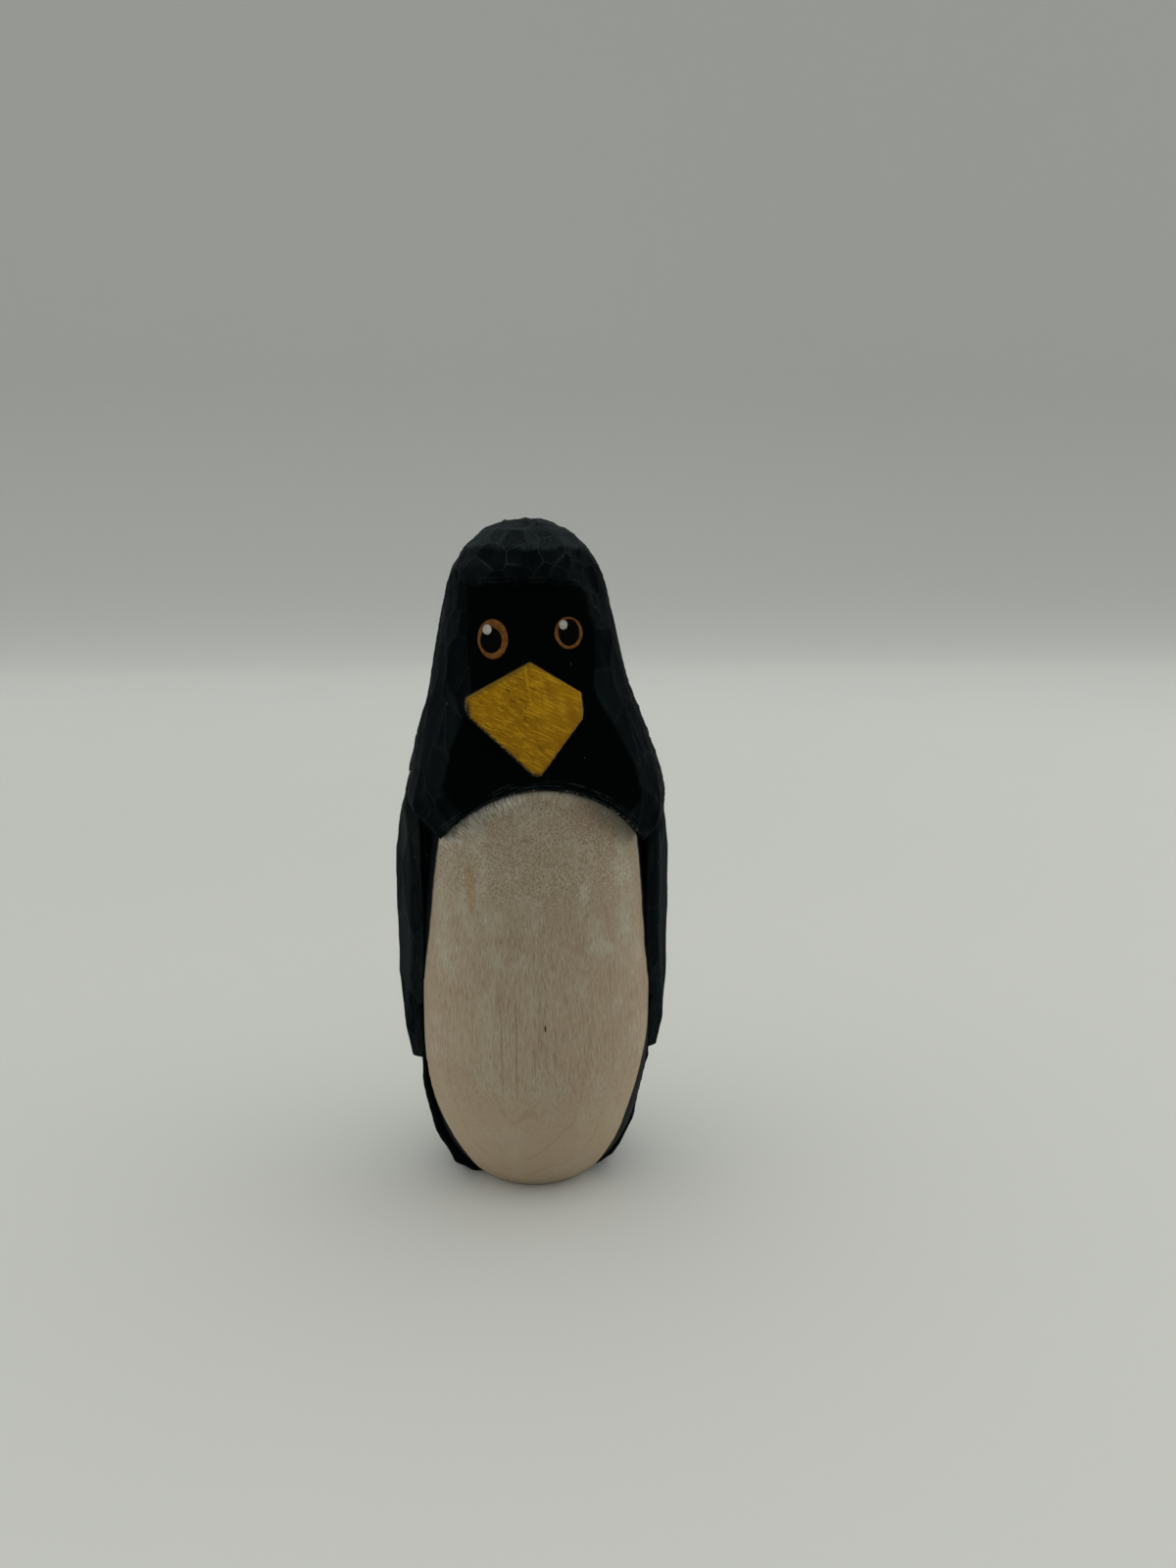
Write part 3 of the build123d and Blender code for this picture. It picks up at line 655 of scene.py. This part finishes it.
hoodSetup = {
    **plainCut, "voxel": 0.53, "hardAngle": 38.0, "scoop": 0.10, "scoopReach": 2.3, "ridgeWidth": 0.50,
    "facetPasses": 6, "chipSize": 4.9, "chipShape": (1.0, 1.0, 0.48), "chipDepth": 0.42, "chipRise": 0.5,
    "rimWidth": 1.6, "softness": 1.1, "softPasses": 5, "wobble": 0.10, "wobbleSize": 6.0, "seed": 3.0,
    "flatFacing": (0.0, -0.965, 0.261), "flatLimit": 0.955, "flatTop": 128.2, "wander": 1.3,
    "plugs": (((-24.2, -6.0, 84.5), (-20.0, 12.0, 92.0)), ((20.0, -6.0, 84.0), (25.0, 12.0, 92.0))),
}
hoodLevels = {
    "grain": (1.9, 1.9, 0.22), "even": 0.01, "sideFrom": (0.84, 1.0), "side": 0.30, "upFrom": (0.50, 0.70),
    "up": 1.1, "upAbove": (20.0, 60.0), "dust": 0.07, "worn": 0.10, "topLightOnCrests": 0.30,
}
hoodStain = stainMaterial("hoodStain", stainSetup, hoodLevels, hoodSetup, lipHighlight=True)
hood = carve("hoodAndBack", "body_block", hoodSetup, hoodStain)

flipperSetup = {
    **plainCut, "voxel": 0.40, "hardAngle": 50.0, "scoop": 0.08, "scoopReach": 2.6, "ridgeWidth": 0.6,
    "facetPasses": 3, "chipSize": 5.4, "chipShape": (1.0, 1.0, 0.36), "chipDepth": 0.22,
    "rimWidth": 1.2, "softness": 0.9, "softPasses": 4, "wobble": 0.22, "wobbleSize": 5.0, "seed": 8.0,
    "wander": 0.8, "tuckFrom": 86.5, "tuckDepth": 0.7,
}
flipperLevels = {
    "grain": (2.2, 2.2, 0.16), "even": 0.58, "sideFrom": (0.5, 1.0), "side": 0.10, "upFrom": (0.3, 0.7),
    "up": 0.5, "upAbove": (20.0, 60.0), "dust": 0.50, "worn": 0.16, "topLightOnCrests": 0.2,
    "spots": ({"place": (-27.7, 78.0), "size": (1.7, 6.0), "front": (-2.0, -5.0), "share": 0.75,
               "colour": colour(0.036, 0.036, 0.032)},),
}
flipperStain = stainMaterial("flipperStain", stainSetup, flipperLevels, flipperSetup)
for side in ("right", "left"):
    flipper = carve(side + "Flipper", side + "_flipper", flipperSetup, flipperStain)


# whitewashed belly: sanded wood with growth lines, pores and thin paint

bellySetup = {
    "wood": colour(0.368, 0.297, 0.206),
    "pink": colour(0.350, 0.266, 0.184),
    "warm": colour(0.415, 0.322, 0.220),
    "dark": colour(0.205, 0.145, 0.088),
    "wash": colour(0.440, 0.400, 0.310),
    "edge": colour(0.470, 0.420, 0.325),
    "hair": colour(0.56, 0.53, 0.45),
    "stainSmearAndShade": colour(0.020, 0.022, 0.022),
    "dab": colour(0.68, 0.66, 0.575),
    "brown": colour(0.270, 0.160, 0.065),
    "pore": colour(0.115, 0.072, 0.040),
    "ink": colour(0.02, 0.015, 0.01),
    "stainOver": colour(0.0035, 0.0058, 0.0064),
    "specular": 0.04,
    "roughness": (0.66, 0.55),
    "relief": (0.22, 0.0002),
    "noises": {
        "drift": ((0.05, 0.05, 0.014), 3.0),
        "fibre": ((6.4, 6.4, 0.42), 4.0, 0.62, (7.0, 2.0, 0.0)),
        "stipple": ((3.0, 3.0, 1.9), 4.0, 0.7, (1.0, 4.0, 2.0)),
        "patch": ((0.15, 0.15, 0.10), 5.0, 0.62, (2.0, 9.0, 4.0)),
        "flush": ((0.09, 0.09, 0.05), 3.0, 0.5, (11.0, 3.0, 8.0)),
        "dashes": ((5.5, 5.5, 0.9), 2.0, 0.5, (5.0, 8.0, 3.0)),
    },
    "layerSpacing": 3.1,
    "stippleFrom": (60.0, 70.0),
    "warmBelow": (36.0, 12.0),
    "cloudsAbove": (40.0, 60.0),
    "paintedLightByHeight": (30.0, 90.0, 1.11, 0.85),     # from one height to another, and how bright at each
    "hairReach": (-4.0, -0.8),      # millimetres from the arch
    "smearAndShadeReach": (-1.1, -0.3),
    "dabReach": (-3.6, -0.9),
    "dabStart": (-3.0, -7.0),       # millimetres along it
    "dabEnd": (-25.0, -19.0),
    "stain": {"place": (-13.6, 68.0), "size": (1.4, 4.6)},
    "dash": {"place": (0.6, 40.8), "size": (0.20, 0.80)},
    "grainLines": ((-8.4, 26.0, 46.0), (-5.4, 25.0, 47.0), (-1.4, 29.0, 37.0), (3.0, 31.0, 38.0)),
    # edge of the black stain on each side; an overlap has heights of start, full, fading and end, and its amount
    "seams": (
        {"side": 1.0, "reach": 23.9, "widest": 35.5, "bends": (0.0083, 0.0019), "overlaps": (
            (-9.0, -8.0, 15.0, 41.0, 2.5), (-9.0, -8.0, 4.0, 14.0, 0.6), (42.0, 54.0, 58.0, 72.0, 0.9))},
        {"side": -1.0, "reach": 24.0, "widest": 35.5, "bends": (0.0083, 0.0019), "overlaps": (
            (-9.0, -8.0, 5.0, 18.0, 2.0), (40.0, 58.0, 80.0, 95.0, 1.3))},
    ),
    "shape": {
        **plainCut, "voxel": 0.50, "facetAngle": 30.0, "hardAngle": 30.0, "scoopReach": 2.0, "ridgeWidth": 0.8,
        "rimWidth": 2.6, "softness": 0.9, "softPasses": 3, "wobble": 0.12, "wobbleSize": 14.0, "seed": 5.0,
    },
}


def bellyMaterial(setup):
    material, tree, shader, grid = startMaterial("whitewashedBelly", setup["specular"])
    axes = axesOf(tree, grid)
    drift, fibre, stipple, patch, flush, dashes = noises(tree, grid, setup["noises"])
    high = ramp(tree, axes["Z"], *setup["stippleFrom"])
    low = ramp(tree, axes["Z"], *setup["warmBelow"])

    tone = blend(tree, ramp(tree, flush, 0.38, 0.64), setup["wood"], setup["pink"])
    tone = over(tree, tone, setup["warm"], low, 0.8)
    # painted light and shade: lighter low down, darker at the top where the hood shades the belly
    tone = blend(tree, 1.0, tone, ramp(tree, axes["Z"], *setup["paintedLightByHeight"]), "MULTIPLY")
    tone = over(tree, tone, setup["wash"], ramp(tree, patch, 0.47, 0.64, 0.0, 0.72),
                ramp(tree, axes["Z"], *setup["cloudsAbove"], 0.45, 1.0))
    # growth layers lie in depth, so the swelling front cuts them into long lines and loops
    layer = total(tree, product(tree, drift, 9.0), product(tree, axes["X"], 0.10), axes["Y"])
    swing = math2(tree, "SINE", product(tree, layer, 2 * math.pi / setup["layerSpacing"]))
    tone = over(tree, tone, setup["dark"], ramp(tree, swing, 0.90, 1.0, 0.0, 0.20),
                ramp(tree, patch, 0.4, 0.6, 1.0, 0.3), ramp(tree, high, 0.0, 1.0, 1.0, 0.2))
    # fine fibres, turning to a grainy stipple near the top; the smoother end grain at the foot shows less
    calm = ramp(tree, low, 0.0, 1.0, 1.0, 0.45)
    for shade, fibreTo, dotTo in (("dark", 0.32, 0.34), ("wash", 0.66, 0.64)):
        fibres = ramp(tree, fibre, 0.50, fibreTo, 0.0, 0.70)
        dots = ramp(tree, stipple, 0.50, dotTo, 0.0, 0.85)
        tone = over(tree, tone, setup[shade], between(tree, high, fibres, dots), calm)
    tone = over(tree, tone, setup["pore"], ramp(tree, dashes, 0.34, 0.26), ramp(tree, flush, 0.42, 0.6, 0.25, 0.9),
                ramp(tree, low, 0.0, 1.0, 1.0, 0.3))
    # a few long lines, a brown stain and one dark dash
    bent = total(tree, axes["X"], product(tree, minus(tree, drift, 0.5), 5.0))
    for across, start, stop in setup["grainLines"]:
        off = math2(tree, "ABSOLUTE", minus(tree, bent, across))
        tone = over(tree, tone, setup["dark"], ramp(tree, off, 0.30, 0.08),
                    ramp(tree, axes["Z"], start - 3, start + 4), ramp(tree, axes["Z"], stop + 3, stop - 4),
                    ramp(tree, dashes, 0.3, 0.55, 0.75, 0.3))
    ragged = total(tree, product(tree, minus(tree, stipple, 0.5), 3.0), product(tree, minus(tree, patch, 0.5), 4.0))
    tone = over(tree, tone, setup["brown"], spotMask(tree, axes, setup["stain"], ragged), 0.42)
    tone = over(tree, tone, setup["ink"], spotMask(tree, axes, setup["dash"], 0.0), 0.95)
    # thicker paint along the edges, with brush ends, gaps and dabs under the hood; the dark gaps just under the hood's
    # edge are part stain smear, part painted shadow
    tone = over(tree, tone, setup["edge"], attribute(tree, "rim"), ramp(tree, fibre, 0.3, 0.7, 0.35, 0.85))
    out, along = archPlace(tree, axes, archSetup)
    brush = bristles(tree, out, along, 4.0)
    under = ramp(tree, axes["Z"], *archSetup["bellyFrom"])
    tone = over(tree, tone, setup["hair"], ramp(tree, brush, 0.50, 0.62), ramp(tree, out, *setup["hairReach"]),
                under, ramp(tree, patch, 0.35, 0.6, 0.35, 1.0), 0.85)
    # dark strip under the hood's edge: stain smear and painted shadow of the overhang
    tone = over(tree, tone, setup["stainSmearAndShade"], ramp(tree, brush, 0.41, 0.34), ramp(tree, out, *setup["smearAndShadeReach"]),
                under, 0.7)
    tone = over(tree, tone, setup["dab"], ramp(tree, brush, 0.44, 0.56), ramp(tree, out, *setup["dabReach"]),
                ramp(tree, along, *setup["dabStart"]), ramp(tree, along, *setup["dabEnd"]), 0.9)
    # black stain reaches over the seam on both sides, with a wandering edge
    wave = product(tree, minus(tree, patch, 0.5), 1.4)
    for seam in setup["seams"]:
        below = math2(tree, "MAXIMUM", minus(tree, seam["widest"], axes["Z"]), 0.0)
        above = math2(tree, "MAXIMUM", minus(tree, axes["Z"], seam["widest"]), 0.0)
        past = minus(tree, product(tree, axes["X"], seam["side"]), seam["reach"])
        for run, bend in zip((below, above), seam["bends"]):
            past = total(tree, past, product(tree, run, run, bend))
        for start, full, fading, end, amount in seam["overlaps"]:
            strip = product(tree, ramp(tree, axes["Z"], start, full), ramp(tree, axes["Z"], end, fading), amount)
            past = total(tree, past, strip)
        tone = over(tree, tone, setup["stainOver"], ramp(tree, total(tree, past, wave), -0.25, 0.25))
    height = total(tree, product(tree, fibre, 0.6), product(tree, stipple, 0.4))
    roughness = ramp(tree, patch, 0.4, 0.7, *setup["roughness"])
    finishMaterial(tree, shader, tone, roughness, height, setup["relief"])
    return material


belly = carve("bellyPanel", "belly_panel", bellySetup["shape"], bellyMaterial(bellySetup))


# ochre beak, brushed thick over knife cuts

beakSetup = {
    "ochre": colour(0.405, 0.212, 0.0025),
    "bright": colour(0.590, 0.340, 0.0150),
    "dull": colour(0.265, 0.124, 0.0018),
    "pit": colour(0.110, 0.045, 0.002),
    "smudge": colour(0.008, 0.009, 0.007),
    "grime": colour(0.085, 0.062, 0.020),
    "specular": 0.06,
    "roughness": (0.7, 0.5),
    "relief": (0.5, 0.0003),
    "noises": {
        "brush": ((0.45, 0.45, 0.22), 4.0, 0.6, (1.0, 0.0, 2.0)),
        "fleck": ((3.0, 3.0, 2.4), 3.0, 0.6, (2.0, 6.0, 1.0)),
    },
    "strokeNoises": {
        "stroke": ((2.6, 1.0, 0.36), 4.0, 0.6, (4.0, 1.0, 0.0)),
        "scratch": ((2.0, 0.8, 0.5), 3.0, 0.6, (8.0, 2.0, 5.0)),
    },
    "strokeSlant": 65,
    "tipShade": (101.0, 94.0),
    "rightShade": (-1.0, 2.0),
    "lowShade": (105.0, 98.0),
    "leftFade": (2.0, -3.0),
    "ridgeHighlightFade": (100.0, 107.0),
    "grimeBelow": (106.5, 103.5),
    "wallReach": (2.3, 1.7),
    "faceOut": (0.0, -0.9653, 0.2612),
    "shape": {
        **plainCut, "voxel": 0.22, "hardAngle": 42.0, "scoop": 0.10, "scoopReach": 3.0, "ridgeWidth": 0.40,
        "rimWidth": 1.5, "softness": 0.5, "softPasses": 4, "wobble": 0.20, "wobbleSize": 3.2, "seed": 2.0,
        "wander": 0.9, "solid": True,
    },
}


def beakMaterial(setup):
    material, tree, shader, grid = startMaterial("beakOchre", setup["specular"])
    axes = axesOf(tree, grid)
    slant = (0.0, math.radians(setup["strokeSlant"]), 0.0)
    turned = addNode(tree, "ShaderNodeMapping", {"Vector": grid, "Rotation": slant}).outputs[0]
    brush, fleck = noises(tree, grid, setup["noises"])
    stroke, scratch = noises(tree, turned, setup["strokeNoises"])
    leftward = ramp(tree, axes["X"], *setup["leftFade"], 0.25, 1.0)
    tone = blend(tree, ramp(tree, brush, 0.36, 0.62), setup["dull"], setup["ochre"])
    tone = over(tree, tone, setup["dull"], ramp(tree, attribute(tree, "tone"), 0.0, 1.0, 0.0, 0.45))
    # darker towards the tip and the lower right: painted shade where the beak turns down and to the right
    tone = over(tree, tone, setup["dull"], ramp(tree, axes["Z"], *setup["tipShade"], 0.0, 0.9))
    tone = over(tree, tone, setup["dull"], ramp(tree, axes["X"], *setup["rightShade"]),
                ramp(tree, axes["Z"], *setup["lowShade"]), 0.6)
    # brush strokes, pits and scratches, and a painted highlight along the ridge
    tone = over(tree, tone, setup["bright"], ramp(tree, stroke, 0.50, 0.64, 0.0, 0.50))
    tone = over(tree, tone, setup["dull"], ramp(tree, stroke, 0.47, 0.36, 0.0, 0.7))
    tone = over(tree, tone, setup["pit"], ramp(tree, fleck, 0.38, 0.29, 0.0, 0.8), leftward)
    tone = over(tree, tone, setup["pit"], ramp(tree, scratch, 0.39, 0.33, 0.0, 0.85), leftward)
    # painted highlight along the ridge, stronger towards the top
    tone = over(tree, tone, setup["bright"], attribute(tree, "ridge"),
                ramp(tree, axes["Z"], *setup["ridgeHighlightFade"], 0.0, 0.40))
    # stain on the side walls, and rubbed off over the lower left edge
    wall = math2(tree, "MAXIMUM", attribute(tree, "sideways"), math2(tree, "ABSOLUTE", attribute(tree, "upward")))
    outward = Vector(setup["faceOut"])
    foot = min(outward.dot(v.co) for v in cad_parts["beak"].data.vertices) / mm
    stand = addNode(tree, "ShaderNodeVectorMath", {0: grid, 1: outward}, operation="DOT_PRODUCT").outputs["Value"]
    stand = total(tree, minus(tree, stand, foot), product(tree, brush, 1.2))
    tone = over(tree, tone, setup["smudge"], ramp(tree, wall, 0.42, 0.62),
                ramp(tree, stand, *setup["wallReach"], 0.18, 1.0))
    reach = total(tree, attribute(tree, "rim"), product(tree, minus(tree, fleck, 0.5), 1.4))
    where = product(tree, leftward, ramp(tree, axes["Z"], *setup["grimeBelow"], 0.3, 1.0))
    tone = over(tree, tone, setup["grime"], ramp(tree, reach, 0.15, 0.75, 0.0, 0.75), where)
    tone = over(tree, tone, setup["smudge"], ramp(tree, reach, 0.55, 0.85), where)
    height = total(tree, product(tree, stroke, 0.7), product(tree, fleck, 0.3))
    roughness = ramp(tree, fleck, 0.3, 0.7, *setup["roughness"])
    finishMaterial(tree, shader, tone, roughness, height, setup["relief"])
    return material


beak = carve("beakWedge", "beak", beakSetup["shape"], beakMaterial(beakSetup))


# eyes: three coats of paint laid on by hand

eyeSetup = {
    "sink": 0.45,
    "segments": 96,
    "rows": 6,
    "middle": 0.06,         # share of a full coat that its flat middle takes
    "ring": {"lift": 0.20, "wobble": 0.030, "seed": 4, "slot": "eye_ring"},
    "pupil": {"lift": 0.22, "wobble": 0.020, "seed": 9, "slot": "eye_black"},
    "glint": {"lift": 0.42, "wobble": 0.045, "seed": 6, "slot": "eye_white"},
    "specular": 0.03,
    "roughness": (0.45, 0.6),
    "relief": (0.3, 0.00012),
    "noises": {"blot": ((0.9, 0.9, 0.9), 4.0, 0.6), "fine": ((4.0, 4.0, 3.0), 3.0, 0.6)},
    "colours": {
        "eye_ring": (colour(0.20, 0.085, 0.022), colour(0.125, 0.047, 0.012)),
        "eye_black": (colour(0.0006, 0.0008, 0.0008), colour(0.0016, 0.0018, 0.0020)),
        "eye_white": (colour(0.46, 0.46, 0.41), colour(0.36, 0.355, 0.31)),
    },
}


def eyePaint(slot, setup):
    material, tree, shader, grid = startMaterial(slot + "Paint", setup["specular"])
    blot, fine = noises(tree, grid, setup["noises"])
    first, second = setup["colours"][slot]
    tone = blend(tree, ramp(tree, blot, 0.35, 0.65), first, second)
    tone = over(tree, tone, second, ramp(tree, fine, 0.62, 0.75, 0.0, 0.5))
    roughness = ramp(tree, blot, 0.3, 0.7, *setup["roughness"])
    finishMaterial(tree, shader, tone, roughness, fine, setup["relief"])
    return material


eyePaints = {slot: eyePaint(slot, eyeSetup) for slot in eyeSetup["colours"]}


def coatPlane(node):
    # the face flat under a coat: a middle, two axes along it, the outward direction and two half sizes
    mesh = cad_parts[node].data
    front = max((p for p in mesh.polygons if p.normal.y < -0.5), key=lambda p: p.area)
    out = front.normal.copy()
    across = Vector((1, 0, 0))
    upFace = out.cross(across).normalized()
    if upFace.z < 0:
        upFace = -upFace
    spots = [v.co for v in mesh.vertices]
    base = min(out.dot(s) for s in spots)
    xs = [s.x for s in spots]
    ups = [upFace.dot(s) for s in spots]
    centre = across * ((min(xs) + max(xs)) / 2) + upFace * ((min(ups) + max(ups)) / 2) + out * base
    return centre, across, upFace, out, (max(xs) - min(xs)) / 2, (max(ups) - min(ups)) / 2


def wobbling(setup):
    # a hand's uneven way round an ellipse, never outside it
    hand, amount = random.Random(setup["seed"]), setup["wobble"]
    waves = [(turns, hand.uniform(0, 6.28), hand.uniform(0.3, 1.0) / turns) for turns in (2, 3, 5, 7)]
    return lambda angle: 1 - amount * (1 + sum(size * math.sin(turns * angle + start) for turns, start, size in waves))


def rimPoint(plane, hand, angle):
    centre, across, upFace, _, wide, tall = plane
    reach = hand(angle)
    return centre + across * (wide * reach * math.cos(angle)) + upFace * (tall * reach * math.sin(angle))


def paintCoat(name, node, setup, hole=None):
    # a low rounded coat on an ellipse, or a ring of it round a hole
    plane, outer = coatPlane(node), wobbling(setup)
    centre, out = plane[0], plane[3]
    if hole:
        holePlane, inner = coatPlane(hole), wobbling(eyeSetup["pupil"])
    steps, rows, middle = eyeSetup["segments"], eyeSetup["rows"], eyeSetup["middle"]
    lift, sink = setup["lift"] * mm, -eyeSetup["sink"] * mm
    made = bmesh.new()
    loops = []
    for row in range(rows + 1):
        share = row / rows
        spread = share if hole else middle + (1 - middle) * share
        rise = lift * (1 - abs(2 * share - 1) ** 4) ** 0.5 if hole else lift * (1 - share ** 5) ** 0.5
        loop = []
        for step in range(steps):
            angle = 2 * math.pi * step / steps
            start = rimPoint(holePlane, inner, angle) if hole else centre
            loop.append(made.verts.new(start.lerp(rimPoint(plane, outer, angle), spread) + out * rise))
        loops.append(loop)
    low = [made.verts.new(v.co + out * sink) for v in loops[-1]]
    loops.append(low)
    if hole:
        loops.append([made.verts.new(v.co + out * sink) for v in loops[0]])
        loops.append(loops[0])
    for first, second in zip(loops, loops[1:]):
        for step in range(steps):
            after = (step + 1) % steps
            made.faces.new((first[step], second[step], second[after], first[after]))
    if not hole:
        made.faces.new(list(reversed(loops[0])))
        made.faces.new(low)
    bmesh.ops.recalc_face_normals(made, faces=made.faces)
    mesh = bpy.data.meshes.new(name)
    made.to_mesh(mesh)
    made.free()
    mesh.polygons.foreach_set("use_smooth", [True] * len(mesh.polygons))
    mesh.materials.append(eyePaints[setup["slot"]])
    piece = linked(name, mesh)
    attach(piece, "root")
    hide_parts(node)


for side in ("right", "left"):
    paintCoat(side + "EyeRing", side + "_eye_iris", eyeSetup["ring"], side + "_eye_pupil")
    paintCoat(side + "EyePupil", side + "_eye_pupil", eyeSetup["pupil"])
    paintCoat(side + "EyeGlint", side + "_eye_glint", eyeSetup["glint"])
print("eyes painted")


# hidden dowels keep their shape and get plain turned wood

dowelSetup = {
    "pale": colour(0.46, 0.33, 0.19),
    "dark": colour(0.33, 0.21, 0.11),
    "specular": 0.3,
    "roughness": 0.6,
    "relief": (0.2, 0.0001),
    "streaks": ((0.5, 0.12, 1.6), 4.0, 0.6),
}


def dowelMaterial(setup):
    material, tree, shader, grid = startMaterial("dowelWood", setup["specular"])
    streak = stretched(tree, grid, *setup["streaks"])
    tone = blend(tree, ramp(tree, streak, 0.35, 0.65), setup["pale"], setup["dark"])
    finishMaterial(tree, shader, tone, setup["roughness"], streak, setup["relief"])
    return material


dowelWood = dowelMaterial(dowelSetup)
for node in ("right_flipper_dowels", "left_flipper_dowels", "beak_dowel", "belly_dowels"):
    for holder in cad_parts[node].material_slots:
        holder.material = dowelWood
print("dowels finished")
